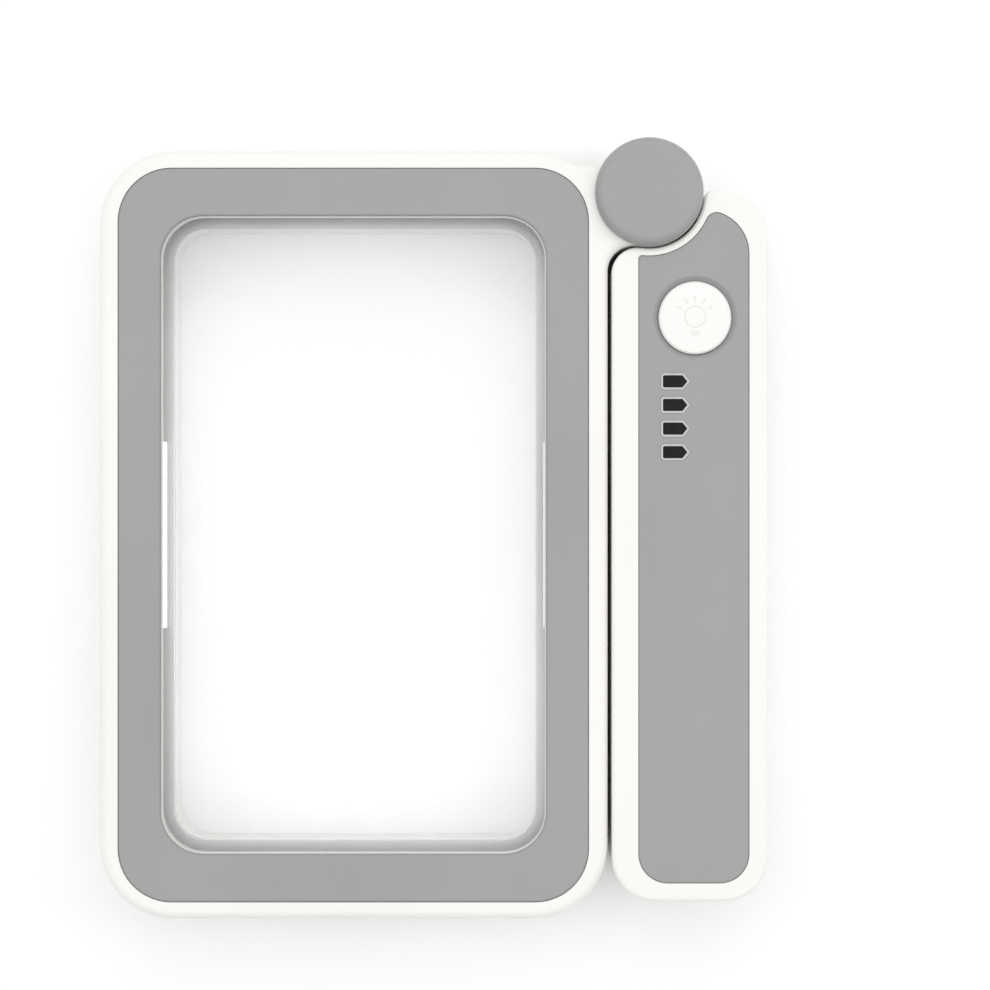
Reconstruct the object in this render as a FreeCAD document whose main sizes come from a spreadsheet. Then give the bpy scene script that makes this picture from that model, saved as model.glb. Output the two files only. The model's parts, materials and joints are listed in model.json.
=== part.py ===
import FreeCAD, Part
import math
import os
import Sketcher

# Folding lighted magnifier: a rectangular lens in a lit frame, with a side handle on a round pivot.
# Frame: +X to the right, +Y up, +Z toward the user's side (front); the rear face rests on z = 0.
# The origin is the centre of the folded magnifier's footprint. Lengths are millimetres.

V = FreeCAD.Vector
doc = FreeCAD.newDocument("folding_magnifier")
sheet = doc.addObject("Spreadsheet::Sheet", "Sizes")

SIZES = {
    # frame (head)
    "head_width": 104.5,
    "head_height": 158.0,
    "head_corner": 15.3,
    "head_x": -16.4,
    "head_y": -1.2,
    "total_depth": 20.0,
    "parting_z": 8.0,
    "wall": 2.0,
    "edge_round": 2.0,
    "rim_round": 0.8,
    "floor_z": 1.8,
    "shelf_z": 17.2,
    "trim_z": 18.6,
    # grey trim round the lens
    "trim_width": 96.6,
    "trim_height": 150.6,
    "trim_corner": 11.0,
    "trim_gap": 0.05,
    "opening_width": 78.9,
    "opening_height": 130.8,
    "opening_corner": 8.6,
    "window_draft": 6.5,
    "skirt_wall": 1.6,
    # lens and its seat
    "lens_rim_low": 11.0,
    "lens_rim_high": 14.0,
    "lens_overlap": 1.3,
    "optic_margin": 2.1,
    "optic_crown": 2.2,
    "optic_radius": 2330.0,
    "seat_z": 10.6,
    "seat_wall": 1.5,
    "seat_ledge": 1.75,
    # side lighting
    "slot_length": 38.5,
    "slot_low": 14.5,
    "slot_height": 1.2,
    "strip_length": 44.0,
    "strip_low": 12.0,
    "strip_height": 5.0,
    "strip_thick": 1.0,
    "strip_offset": 43.3,
    "led_size": 1.6,
    "led_deep": 0.8,
    "led_pitch": 9.0,
    # pivot
    "pivot_x": 44.25,
    "pivot_y": 69.1,
    "lug_radius": 11.1,
    "scoop_radius": 11.42,
    "scoop_wall": 13.7,
    "neck_top": 75.0,
    "neck_bottom": 58.3,
    "lug_low": 8.5,
    "knob_radius": 11.1,
    "knob_height": 3.0,
    "knob_round": 2.0,
    "pin_radius": 3.5,
    "pin_bore": 2.0,
    "pin_low": 2.7,
    "pin_high": 19.2,
    "pin_fit": 0.05,
    "flange_radius": 5.5,
    "flange_low": 17.8,
    "washer_radius": 9.0,
    "nut_low": 2.8,
    "nut_high": 4.2,
    "wave_high": 4.8,
    "nut_radius": 5.5,
    "well_radius": 7.7,
    "rear_cap_thick": 1.2,
    "channel_low": 12.2,
    "channel_high": 14.8,
    "channel_half": 1.2,
    # handle
    "handle_left": 36.65,
    "handle_right": 68.65,
    "handle_top": 69.4,
    "handle_bottom": -76.4,
    "handle_foot_round": 9.0,
    "shoulder_round": 9.5,
    "heel_round": 5.3,
    "horn_round": 1.4,
    "handle_cavity_round": 7.0,
    # grey panel of the handle
    "panel_left": 42.1,
    "panel_right": 64.8,
    "panel_top": 65.4,
    "panel_bottom": -72.6,
    "panel_scoop": 13.0,
    "panel_foot_round": 6.0,
    "panel_shoulder": 8.9,
    "panel_tip_round": 2.3,
    "panel_gap": 0.05,
    # push button and its switch
    "button_x": 53.7,
    "button_y": 43.4,
    "button_radius": 7.5,
    "button_gap": 0.1,
    "button_ring": 8.6,
    "button_travel": 0.5,
    "button_low": 14.9,
    "button_flange": 9.0,
    "button_flange_high": 16.6,
    "sign_bulb": 2.3,
    "sign_line": 0.32,
    "sign_depth": 0.1,
    "board_low": 11.0,
    "board_high": 12.2,
    "switch_size": 6.0,
    "switch_high": 14.0,
    "plunger_radius": 1.6,
    "plunger_low": 13.4,
    "plunger_high": 14.85,
    # charge indicator
    "mark_left": 47.1,
    "mark_body": 4.0,
    "mark_length": 5.0,
    "mark_half": 1.25,
    "mark_wall": 0.45,
    "mark_round": 0.3,
    "seal_gap": 0.02,
    "mark_first_y": 15.8,
    "mark_pitch": 4.84,
    "guide_low": 15.9,
    # main board
    "board_left": 43.2,
    "board_right": 62.1,
    "board_bottom": -10.0,
    "board_top": 53.0,
    # cell
    "cell_x": 52.65,
    "cell_radius": 7.0,
    "cell_length": 50.0,
    "cell_bottom": -65.5,
    "cell_z": 9.3,
    "tab_thick": 0.3,
    # charging socket
    "port_width": 8.94,
    "port_height": 3.2,
    "port_depth": 7.3,
    "port_z": 9.0,
    "port_wall": 0.3,
    # leads
    "lead_radius": 0.5,
    "lead_split_z": 3.8,
    # screws
    "screw_shank": 0.9,
    "screw_head": 1.9,
    "screw_seat": 2.6,
    "screw_head_low": 1.0,
    "screw_tip": 13.0,
    "boss_radius": 2.4,
    "rear_boss_radius": 3.2,
}

for row, (alias, number) in enumerate(SIZES.items(), start=1):
    sheet.set(f"A{row}", alias)
    sheet.set(f"B{row}", f"{number:g}")
    sheet.setAlias(f"B{row}", alias)
doc.recompute()


def bound(text):
    """Turn 'pivot_x + 1' into an expression on the sheet."""
    words = []
    word = ""
    for sign in text + " ":
        if sign.isalnum() or sign == "_" or sign == ".":
            word += sign
            continue
        words.append(f"Sizes.{word}" if word in SIZES else word)
        words.append(sign)
        word = ""
    return "".join(words).strip()


def val(text):
    """Number a sheet expression stands for."""
    return float(sheet.evalExpression(bound(str(text))))


# ------------------------------------------------------------------ sketches
def new_body(name, several=False):
    body = doc.addObject("PartDesign::Body", name)
    body.Label = name
    body.AllowCompound = several
    return body


def new_sketch(body, name, level="0", plane="XY_Plane"):
    sketch = body.newObject("Sketcher::SketchObject", name)
    support = [f for f in body.Origin.OriginFeatures if f.Role == plane][0]
    sketch.AttachmentSupport = [(support, "")]
    sketch.MapMode = "FlatFace"
    sketch.setExpression("AttachmentOffset.Base.z", bound(str(level)))
    return sketch


def pin_point(sketch, geo, end, x, y):
    for kind, text in (("DistanceX", x), ("DistanceY", y)):
        index = sketch.addConstraint(Sketcher.Constraint(kind, -1, 1, geo, end, val(text)))
        sketch.setExpression(f"Constraints[{index}]", bound(text))


def add_circle(sketch, x, y, radius):
    geo = sketch.addGeometry(Part.Circle(V(val(x), val(y), 0), V(0, 0, 1), val(radius)), False)
    index = sketch.addConstraint(Sketcher.Constraint("Radius", geo, val(radius)))
    sketch.setExpression(f"Constraints[{index}]", bound(radius))
    pin_point(sketch, geo, 3, x, y)


def add_polygon(sketch, points):
    corners = [V(val(x), val(y), 0) for x, y in points]
    total = len(corners)
    first = None
    for i in range(total):
        geo = sketch.addGeometry(Part.LineSegment(corners[i], corners[(i + 1) % total]), False)
        if first is None:
            first = geo
    for i in range(total):
        here = first + i
        after = first + (i + 1) % total
        sketch.addConstraint(Sketcher.Constraint("Coincident", here, 2, after, 1))
        pin_point(sketch, here, 1, points[i][0], points[i][1])


def add_box(sketch, left, bottom, right, top):
    add_polygon(sketch, [(left, bottom), (right, bottom), (right, top), (left, top)])


def add_rounded(sketch, x, y, width, height, radius):
    """Rounded rectangle centred on (x, y)."""
    cx, cy, w, hh, r = val(x), val(y), val(width) / 2, val(height) / 2, val(radius)
    sides = [
        (V(cx - w + r, cy - hh, 0), V(cx + w - r, cy - hh, 0)),
        (V(cx + w, cy - hh + r, 0), V(cx + w, cy + hh - r, 0)),
        (V(cx + w - r, cy + hh, 0), V(cx - w + r, cy + hh, 0)),
        (V(cx - w, cy + hh - r, 0), V(cx - w, cy - hh + r, 0)),
    ]
    centres = [(cx + w - r, cy - hh + r, 270), (cx + w - r, cy + hh - r, 0),
               (cx - w + r, cy + hh - r, 90), (cx - w + r, cy - hh + r, 180)]
    lines = [sketch.addGeometry(Part.LineSegment(a, b), False) for a, b in sides]
    arcs = []
    for ax, ay, start in centres:
        circle = Part.Circle(V(ax, ay, 0), V(0, 0, 1), r)
        arc = Part.ArcOfCircle(circle, math.radians(start), math.radians(start + 90))
        arcs.append(sketch.addGeometry(arc, False))
    for i in range(4):
        sketch.addConstraint(Sketcher.Constraint("Tangent", lines[i], 2, arcs[i], 1))
        sketch.addConstraint(Sketcher.Constraint("Tangent", arcs[i], 2, lines[(i + 1) % 4], 1))
    for arc in arcs[1:]:
        sketch.addConstraint(Sketcher.Constraint("Equal", arcs[0], arc))
    index = sketch.addConstraint(Sketcher.Constraint("Radius", arcs[0], r))
    sketch.setExpression(f"Constraints[{index}]", bound(radius))
    sketch.addConstraint(Sketcher.Constraint("Horizontal", lines[0]))
    sketch.addConstraint(Sketcher.Constraint("Vertical", lines[1]))
    sketch.addConstraint(Sketcher.Constraint("Horizontal", lines[2]))
    sketch.addConstraint(Sketcher.Constraint("Vertical", lines[3]))
    limits = [("DistanceY", lines[0], f"{y} - ({height}) / 2", cy - hh),
              ("DistanceX", lines[1], f"{x} + ({width}) / 2", cx + w),
              ("DistanceY", lines[2], f"{y} + ({height}) / 2", cy + hh),
              ("DistanceX", lines[3], f"{x} - ({width}) / 2", cx - w)]
    for kind, line, text, number in limits:
        index = sketch.addConstraint(Sketcher.Constraint(kind, -1, 1, line, 1, number))
        sketch.setExpression(f"Constraints[{index}]", bound(text))


# ------------------------------------------------------------------ features
def settle(body, feature):
    body.Tip = feature
    doc.recompute()
    if body.Shape.isNull() or not body.Shape.Solids or not body.Shape.isValid():
        raise RuntimeError(f"{body.Label}: {feature.Label} gives a bad shape")
    return feature


def pad(body, name, low, high, draw, plane="XY_Plane"):
    """Raise what draw() puts in the sketch, from level low to level high."""
    sketch = new_sketch(body, f"{name}_sketch", low, plane)
    draw(sketch)
    feature = body.newObject("PartDesign::Pad", name)
    feature.Profile = sketch
    feature.setExpression("Length", bound(f"({high}) - ({low})"))
    return settle(body, feature)


def cut(body, name, high, low, draw, plane="XY_Plane"):
    """Remove what draw() puts in the sketch, from level high down to level low."""
    before = body.Shape.Volume
    sketch = new_sketch(body, f"{name}_sketch", high, plane)
    draw(sketch)
    feature = body.newObject("PartDesign::Pocket", name)
    feature.Profile = sketch
    feature.setExpression("Length", bound(f"({high}) - ({low})"))
    settle(body, feature)
    if not body.Shape.Volume < before:
        raise RuntimeError(f"{body.Label}: {name} removes nothing")
    return feature


def round_edges(body, name, radius, chosen, kind="Fillet"):
    """Fillet (or chamfer) the edges of the body that chosen(edge) accepts."""
    base = body.Tip
    names = [f"Edge{i}" for i, edge in enumerate(base.Shape.Edges, start=1) if chosen(edge)]
    if not names:
        raise RuntimeError(f"{body.Label}: {name} finds no edge")
    feature = body.newObject(f"PartDesign::{kind}", name)
    feature.Base = (base, names)
    feature.setExpression("Radius" if kind == "Fillet" else "Size", bound(radius))
    return settle(body, feature)


def near(a, b, slack=0.02):
    return abs(a - b) < slack


def at_level(edge, level):
    return near(edge.BoundBox.ZMin, level) and near(edge.BoundBox.ZMax, level)


def upright_at(edge, x, y, slack=0.05):
    box = edge.BoundBox
    thin = box.XLength < 0.01 and box.YLength < 0.01 and box.ZLength > 0.5
    return thin and near(box.XMin, x, slack) and near(box.YMin, y, slack)


def outer_edges(shape, level):
    """Test that accepts the outer boundary edges of the largest flat face at a level."""
    flat = [f for f in shape.Faces if near(f.BoundBox.ZMin, level) and near(f.BoundBox.ZMax, level)]
    rim = max(flat, key=lambda f: f.Area).OuterWire.Edges
    middles = [e.valueAt((e.FirstParameter + e.LastParameter) / 2) for e in rim]

    def accepts(edge):
        middle = edge.valueAt((edge.FirstParameter + edge.LastParameter) / 2)
        return at_level(edge, level) and any(middle.distanceToPoint(m) < 0.01 for m in middles)

    return accepts


def ring_at(radius, x, y, level):
    """Test that accepts the round edges of one radius about (x, y) at a level."""

    def accepts(edge):
        if not at_level(edge, level) or not hasattr(edge.Curve, "Radius"):
            return False
        centre = edge.Curve.Center
        return near(edge.Curve.Radius, radius) and near(centre.x, x) and near(centre.y, y)

    return accepts


nodes = {}


def keep(name, item):
    item.Label = name
    nodes[name] = item
    return item


# ------------------------------------------------------------------ places used more than once
HEAD_RIGHT = "head_x + head_width / 2"
HEAD_SCREWS = [("head_x - 41", "head_y + 71"), ("head_x + 41", "head_y + 71"),
               ("head_x - 41", "head_y - 71"), ("head_x + 41", "head_y - 71"),
               ("head_x", "head_y + 71.5"), ("head_x", "head_y - 71.5")]
HANDLE_SCREWS = [("handle_left + 6.2", "handle_bottom + 6.2"), ("handle_right - 6.2", "handle_bottom + 6.2"),
                 ("handle_left + 4", "2"), ("handle_right - 4", "2"),
                 ("handle_left + 4", "46"), ("handle_right - 4.2", "57")]
BOARD_POSTS = [("board_left + 2.5", "board_bottom + 3"), ("board_right - 2.5", "board_bottom + 3"),
               ("board_left + 2.5", "board_top - 6"), ("board_right - 2.5", "board_top - 6")]
MARK_ROWS = [f"mark_first_y + {i} * mark_pitch" for i in range(4)]


def head_outline(sketch):
    add_rounded(sketch, "head_x", "head_y", "head_width", "head_height", "head_corner")


def inset_outline(sketch):
    add_rounded(sketch, "head_x", "head_y", "head_width - 2 * wall", "head_height - 2 * wall",
                "head_corner - wall")


def opening(sketch, grow="0"):
    add_rounded(sketch, "head_x", "head_y", f"opening_width + 2 * ({grow})",
                f"opening_height + 2 * ({grow})", f"opening_corner + ({grow})")


def drafted_window(body, high, low):
    """Cut the window between two levels; its walls close in toward the lens."""
    window = cut(body, "window", high, low, lambda s: opening(
        s, f"-(total_depth - ({high})) * tan(window_draft * 1 deg)"))
    window.setExpression("TaperAngle", bound("window_draft"))
    settle(body, window)


def discs(places, radius):
    def draw(sketch):
        for x, y in places:
            add_circle(sketch, x, y, radius)
    return draw


def pivot_disc(radius):
    return discs([("pivot_x", "pivot_y")], radius)


def handle_box(sketch, inset="0"):
    add_box(sketch, f"handle_left + {inset}", f"handle_bottom + {inset}",
            f"handle_right - {inset}", f"handle_top - {inset}")


def handle_cavity(sketch):
    add_rounded(sketch, "(handle_left + handle_right) / 2", "(handle_bottom + handle_top) / 2",
                "handle_right - handle_left - 2 * wall", "handle_top - handle_bottom - 2 * wall",
                "handle_cavity_round")


def outside_of(draw_inner):
    def draw(sketch):
        add_box(sketch, "-150", "-150", "150", "150")
        draw_inner(sketch)
    return draw


def handle_corner_edges(edge):
    left, right = val("handle_left"), val("handle_right")
    low = val("handle_bottom")
    return upright_at(edge, left, low) or upright_at(edge, right, low)


HEEL_X = "handle_left + heel_round"
HEEL_Y = ("pivot_y - sqrt((scoop_radius + heel_round) ^ 2"
          " - (pivot_x - handle_left - heel_round) ^ 2)")


def shape_handle_scoop(body, low, high, hollow_low, hollow_high):
    """Wall round the pivot, then the scoop that lets the other lug turn inside it."""
    pad(body, "scoop_wall_pad", low, high, pivot_disc("scoop_wall"))
    pad(body, "heel_block", low, high, lambda s: add_box(
        s, "handle_left", HEEL_Y, HEEL_X, "pivot_y - scoop_radius + 0.2"))
    cut(body, "heel_hollow", hollow_high, hollow_low, discs([(HEEL_X, HEEL_Y)], "heel_round - wall"))
    cut(body, "trim_outside", high, low, outside_of(handle_box))
    cut(body, "scoop", high, low, pivot_disc("scoop_radius"))
    pivot_x, pivot_y, scoop = val("pivot_x"), val("pivot_y"), val("scoop_radius")
    left, right, top = val("handle_left"), val("handle_right"), val("handle_top")
    heel_y = pivot_y - math.sqrt(scoop ** 2 - (pivot_x - left) ** 2)
    horn_x = pivot_x + math.sqrt(scoop ** 2 - (top - pivot_y) ** 2)
    round_edges(body, "shoulder", "shoulder_round", lambda e: upright_at(e, right, top))
    round_edges(body, "heel", "heel_round", lambda e: upright_at(e, left, heel_y))
    round_edges(body, "horn", "horn_round", lambda e: upright_at(e, horn_x, top))
    round_edges(body, "foot", "handle_foot_round", handle_corner_edges)


def rounded_path(points, radius):
    """Wire through the points with its corners rounded."""
    edges = []
    start = points[0]
    for before, corner, after in zip(points, points[1:], points[2:]):
        back = (before - corner).normalize()
        ahead = (after - corner).normalize()
        half = back.getAngle(ahead) / 2
        reach = radius / math.tan(half)
        first = corner + back * reach
        last = corner + ahead * reach
        middle = corner + (back + ahead).normalize() * (radius / math.sin(half) - radius)
        edges.append(Part.LineSegment(start, first).toShape())
        edges.append(Part.Arc(first, middle, last).toShape())
        start = last
    edges.append(Part.LineSegment(start, points[-1]).toShape())
    return Part.Wire(edges)


def lead_shape(points, bend=1.2):
    """Round lead along the points, which are triples of sheet expressions."""
    path = rounded_path([V(val(x), val(y), val(z)) for x, y, z in points], bend)
    first = path.Edges[0]
    start = first.valueAt(first.FirstParameter)
    profile = Part.Wire([Part.Circle(start, first.tangentAt(first.FirstParameter),
                                     val("lead_radius")).toShape()])
    return path.makePipeShell([profile], True, False)


def lead(name, runs, bend=1.2):
    item = doc.addObject("Part::Feature", name)
    shapes = [lead_shape(points, bend) for points in runs]
    item.Shape = shapes[0] if len(shapes) == 1 else Part.makeCompound(shapes)
    return keep(name, item)


# ------------------------------------------------------------------ head: front cover
front = new_body("head_front_cover")
pad(front, "plate", "parting_z", "total_depth", head_outline)
pad(front, "lug", "parting_z", "total_depth", pivot_disc("lug_radius"))
pad(front, "neck", "parting_z", "total_depth",
    lambda s: add_box(s, "head_x + 40", "neck_bottom", "pivot_x", "neck_top"))
arc_x = val("head_x + head_width / 2 - head_corner")
arc_y = val("head_y + head_height / 2 - head_corner")
valley_x = arc_x + math.sqrt(val("head_corner") ** 2 - (val("neck_top") - arc_y) ** 2)
lug_side = val("pivot_x") - math.sqrt(val("lug_radius") ** 2 - (val("neck_top") - val("pivot_y")) ** 2)
round_edges(front, "valley", "1.6", lambda e: upright_at(e, valley_x, val("neck_top")))
round_edges(front, "lug_root", "1.2", lambda e: upright_at(e, lug_side, val("neck_top")))
round_edges(front, "armpit", "heel_round", lambda e: upright_at(e, val(HEAD_RIGHT), val("neck_bottom")))


def front_rim(edge):
    """Outer front edge of the frame and neck, without the lug that the knob covers."""
    if not outer_edges(front.Tip.Shape, val("total_depth"))(edge):
        return False
    middle = edge.valueAt((edge.FirstParameter + edge.LastParameter) / 2)
    return middle.x < val("pivot_x - lug_radius + 0.5")


round_edges(front, "front_round", "edge_round", front_rim)
cut(front, "trim_recess", "total_depth", "trim_z", lambda s: add_rounded(
    s, "head_x", "head_y", "trim_width + 2 * trim_gap", "trim_height + 2 * trim_gap",
    "trim_corner + trim_gap"))
cut(front, "cavity", "shelf_z", "parting_z", inset_outline)
pad(front, "skirt", "lens_rim_high + seal_gap", "shelf_z + 0.2", lambda s: opening(s, "skirt_wall"))
drafted_window(front, "trim_z", "lens_rim_high + seal_gap")
cut(front, "light_slots", "slot_low + slot_height", "slot_low", lambda s: [
    add_box(s, f"head_x + {side} * (opening_width / 2 + 0.4) - 1.4", "head_y - slot_length / 2",
            f"head_x + {side} * (opening_width / 2 + 0.4) + 1.4", "head_y + slot_length / 2")
    for side in ("-1", "1")])
pad(front, "bosses", "parting_z", "shelf_z", discs(HEAD_SCREWS, "boss_radius"))
cut(front, "pilot_holes", "14", "parting_z", discs(HEAD_SCREWS, "screw_shank"))
cut(front, "washer_space", "lug_low", "parting_z", pivot_disc("scoop_radius"))
cut(front, "flange_seat", "total_depth", "flange_low", pivot_disc("flange_radius + 0.1"))
cut(front, "pin_hole", "flange_low", "lug_low", pivot_disc("pin_radius"))
cut(front, "lead_channel", "channel_high", "channel_low", lambda s: add_box(
    s, "head_x + head_width / 2 - 5", "pivot_y - channel_half", "pivot_x - pin_bore",
    "pivot_y + channel_half"))
keep("head_front_cover", front)

# ------------------------------------------------------------------ head: rear cover
rear = new_body("head_rear_cover")
pad(rear, "plate", "0", "parting_z", head_outline)
cut(rear, "cavity", "parting_z", "floor_z", inset_outline)
pad(rear, "pivot_wall", "0", "parting_z", pivot_disc("scoop_wall"))
cut(rear, "trim_outside", "parting_z", "0", outside_of(head_outline))
cut(rear, "scoop", "parting_z", "0", pivot_disc("scoop_radius"))
round_edges(rear, "rear_round", "edge_round", lambda e: outer_edges(rear.Tip.Shape, 0)(e)
            and e.valueAt(e.FirstParameter).x < val(HEAD_RIGHT) + 0.1
            and not ring_at(val("scoop_radius"), val("pivot_x"), val("pivot_y"), 0)(e))
pad(rear, "seat", "0", "seat_z", lambda s: opening(s, "seat_wall"))
pad(rear, "bosses", "0", "parting_z", discs(HEAD_SCREWS, "rear_boss_radius"))
STRIP_SIDES = (("head_x - strip_offset - strip_thick", "head_x - strip_offset"),
               ("head_x + strip_offset", "head_x + strip_offset + strip_thick"))


def strip_posts(sketch):
    for left, right in STRIP_SIDES:
        for middle in ("head_y - 17", "head_y + 17"):
            add_box(sketch, f"{left} - 0.5", f"{middle} - 1.5", f"{right} + 0.5", f"{middle} + 1.5")


pad(rear, "strip_posts", "0", "strip_low", strip_posts)
cut(rear, "window", "seat_z", "0", lambda s: opening(s, "-seat_ledge"))
cut(rear, "screw_seats", "screw_seat", "0", discs(HEAD_SCREWS, "screw_head + 0.2"))
cut(rear, "screw_holes", "parting_z", "screw_seat", discs(HEAD_SCREWS, "screw_shank + 0.2"))
keep("head_rear_cover", rear)

# ------------------------------------------------------------------ head: grey trim
trim = new_body("head_trim")
pad(trim, "plate", "trim_z", "total_depth", lambda s: add_rounded(
    s, "head_x", "head_y", "trim_width", "trim_height", "trim_corner"))
round_edges(trim, "outer_soft", "0.5", outer_edges(trim.Tip.Shape, val("total_depth")))
drafted_window(trim, "total_depth", "trim_z")


def inner_front_edge(edge):
    box = edge.BoundBox
    inside = abs(box.Center.x - val("head_x")) < val("opening_width / 2 + 0.5")
    return at_level(edge, val("total_depth")) and inside and \
        abs(box.Center.y - val("head_y")) < val("opening_height / 2 + 0.5")


round_edges(trim, "inner_soft", "0.6", inner_front_edge)
keep("head_trim", trim)

# ------------------------------------------------------------------ head: lens and gasket
blank = new_body("lens_optic_blank")
pad(blank, "optic", "lens_rim_low - optic_crown", "lens_rim_high + optic_crown",
    lambda s: opening(s, "-optic_margin"))
rim_plate = new_body("lens_rim_plate")
pad(rim_plate, "rim", "lens_rim_low", "lens_rim_high", lambda s: opening(s, "lens_overlap"))
front_ball = doc.addObject("Part::Sphere", "lens_front_ball")
rear_ball = doc.addObject("Part::Sphere", "lens_rear_ball")
for ball, height in ((front_ball, "lens_rim_high + optic_crown - optic_radius"),
                     (rear_ball, "lens_rim_low - optic_crown + optic_radius")):
    ball.setExpression("Radius", bound("optic_radius"))
    ball.setExpression("Placement.Base.x", bound("head_x"))
    ball.setExpression("Placement.Base.y", bound("head_y"))
    ball.setExpression("Placement.Base.z", bound(height))
front_ball.Angle1 = 80
rear_ball.Angle2 = -80
crown = doc.addObject("Part::MultiCommon", "lens_crowned")
crown.Shapes = [blank, front_ball, rear_ball]
lens = doc.addObject("Part::Fuse", "lens")
lens.Base = crown
lens.Tool = rim_plate
doc.recompute()
keep("lens", lens)

gasket = new_body("lens_gasket")
pad(gasket, "ring", "seat_z", "lens_rim_low - seal_gap", lambda s: (
    opening(s, "lens_overlap"), opening(s, "-seat_ledge")))
keep("lens_gasket", gasket)

# ------------------------------------------------------------------ head: lights
windows = new_body("light_windows", True)
pad(windows, "strips", "slot_low + 0.05", "slot_low + slot_height - 0.05", lambda s: [
    add_box(s, f"head_x + {side} * (opening_width / 2 + 0.5) - 0.95", "head_y - slot_length / 2 + 0.05",
            f"head_x + {side} * (opening_width / 2 + 0.5) + 0.95", "head_y + slot_length / 2 - 0.05")
    for side in ("-1", "1")])
keep("light_windows", windows)

for label, (left, right) in zip(("led_strip_left", "led_strip_right"), STRIP_SIDES):
    strip = new_body(label)
    pad(strip, "board", "strip_low", "strip_low + strip_height", lambda s: add_box(
        s, left, "head_y - strip_length / 2", right, "head_y + strip_length / 2"))
    keep(label, strip)

leds = new_body("side_leds", True)


def led_boxes(sketch):
    for side in (-1, 1):
        inner = f"head_x + {side} * (strip_offset - led_deep / 2)"
        for step in (-1.5, -0.5, 0.5, 1.5):
            middle = f"head_y + {step} * led_pitch"
            add_box(sketch, f"{inner} - led_deep / 2", f"{middle} - led_size / 2",
                    f"{inner} + led_deep / 2", f"{middle} + led_size / 2")


pad(leds, "chips", "slot_low - 0.2", "slot_low - 0.2 + led_size", led_boxes)
keep("side_leds", leds)

# ------------------------------------------------------------------ pivot
pin = new_body("hinge_pin")
pad(pin, "tube", "pin_low", "pin_high", pivot_disc("pin_radius"))
pad(pin, "flange", "flange_low", "pin_high", pivot_disc("flange_radius"))
cut(pin, "bore", "pin_high", "pin_low", pivot_disc("pin_bore"))
cut(pin, "side_window", "channel_high", "channel_low", lambda s: add_box(
    s, "pivot_x - pin_radius - 0.5", "pivot_y - channel_half", "pivot_x", "pivot_y + channel_half"))
keep("hinge_pin", pin)

washer = new_body("hinge_friction_washer")
pad(washer, "disc", "parting_z", "lug_low", lambda s: (pivot_disc("washer_radius")(s),
                                                      pivot_disc("pin_radius + 0.1")(s)))
keep("hinge_friction_washer", washer)

wave = new_body("hinge_spring_washer")
pad(wave, "disc", "nut_high", "wave_high", lambda s: (pivot_disc("nut_radius + 0.5")(s),
                                                     pivot_disc("pin_radius + 0.1")(s)))
keep("hinge_spring_washer", wave)

nut = new_body("hinge_nut")
pad(nut, "disc", "nut_low", "nut_high", lambda s: (
    add_polygon(s, [(f"pivot_x + nut_radius * cos({60 * i} deg)", f"pivot_y + nut_radius * sin({60 * i} deg)")
                    for i in range(6)]),
    pivot_disc("pin_radius")(s)))
keep("hinge_nut", nut)

knob = new_body("hinge_knob")
pad(knob, "cap", "total_depth", "total_depth + knob_height", pivot_disc("knob_radius"))
round_edges(knob, "soft_edge", "knob_round", lambda e: at_level(e, val("total_depth + knob_height")))
pad(knob, "plug", "pin_high - 4", "total_depth", pivot_disc("pin_bore"))
keep("hinge_knob", knob)

rear_cap = new_body("hinge_rear_cap")
pad(rear_cap, "disc", "0", "rear_cap_thick", pivot_disc("well_radius"))
round_edges(rear_cap, "soft_edge", "0.3", lambda e: at_level(e, 0))
keep("hinge_rear_cap", rear_cap)

# ------------------------------------------------------------------ handle: front shell
shell = new_body("handle_front_shell")
pad(shell, "block", "parting_z", "total_depth", handle_box)
cut(shell, "cavity", "shelf_z", "parting_z", handle_cavity)
shape_handle_scoop(shell, "parting_z", "total_depth", "parting_z", "shelf_z")
round_edges(shell, "front_round", "rim_round", outer_edges(shell.Tip.Shape, val("total_depth")))


def panel_block(radius, top, grow):
    """Rounded block on the panel's left, right and bottom limits, up to a top level."""
    low, high = f"(panel_bottom - {grow})", f"({top} + {grow})"
    return lambda s: add_rounded(s, "(panel_left + panel_right) / 2", f"({low} + {high}) / 2",
                                 f"panel_right - panel_left + 2 * {grow}", f"{high} - {low}",
                                 f"{radius} + {grow}")


def panel_body(name, grow, low):
    """Panel outline grown by a margin, from level low to the front face."""
    body = new_body(name)
    pad(body, "upper", low, "total_depth", panel_block("panel_shoulder", "panel_top", grow))
    pad(body, "lower", low, "total_depth", panel_block("panel_foot_round", "0", grow))
    cut(body, "scoop", "total_depth", low, pivot_disc(f"panel_scoop - {grow}"))
    left, top = val(f"panel_left - {grow}"), val(f"panel_top + {grow}")
    reach = val(f"panel_scoop - {grow}")
    heel_y = val("pivot_y") - math.sqrt(reach ** 2 - (val("pivot_x") - left) ** 2)
    tip_x = val("pivot_x") + math.sqrt(reach ** 2 - (top - val("pivot_y")) ** 2)
    round_edges(body, "tip", f"panel_tip_round + {grow}", lambda e: upright_at(e, tip_x, top, 0.8))
    round_edges(body, "heel", "0.8", lambda e: upright_at(e, left, heel_y, 0.4))
    return body


def mark_points(row, grow):
    """Pentagon pointing right, its outline moved out by a margin."""
    y = f"({row})"
    slope = "sqrt(mark_half ^ 2 + (mark_length - mark_body) ^ 2)"
    shoulder = f"mark_left + mark_body + {grow} * ({slope} - mark_length + mark_body) / mark_half"
    tip = f"mark_left + mark_length + {grow} * {slope} / mark_half"
    return [(f"mark_left - {grow}", f"{y} - mark_half - {grow}"),
            (shoulder, f"{y} - mark_half - {grow}"),
            (tip, y),
            (shoulder, f"{y} + mark_half + {grow}"),
            (f"mark_left - {grow}", f"{y} + mark_half + {grow}")]


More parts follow.
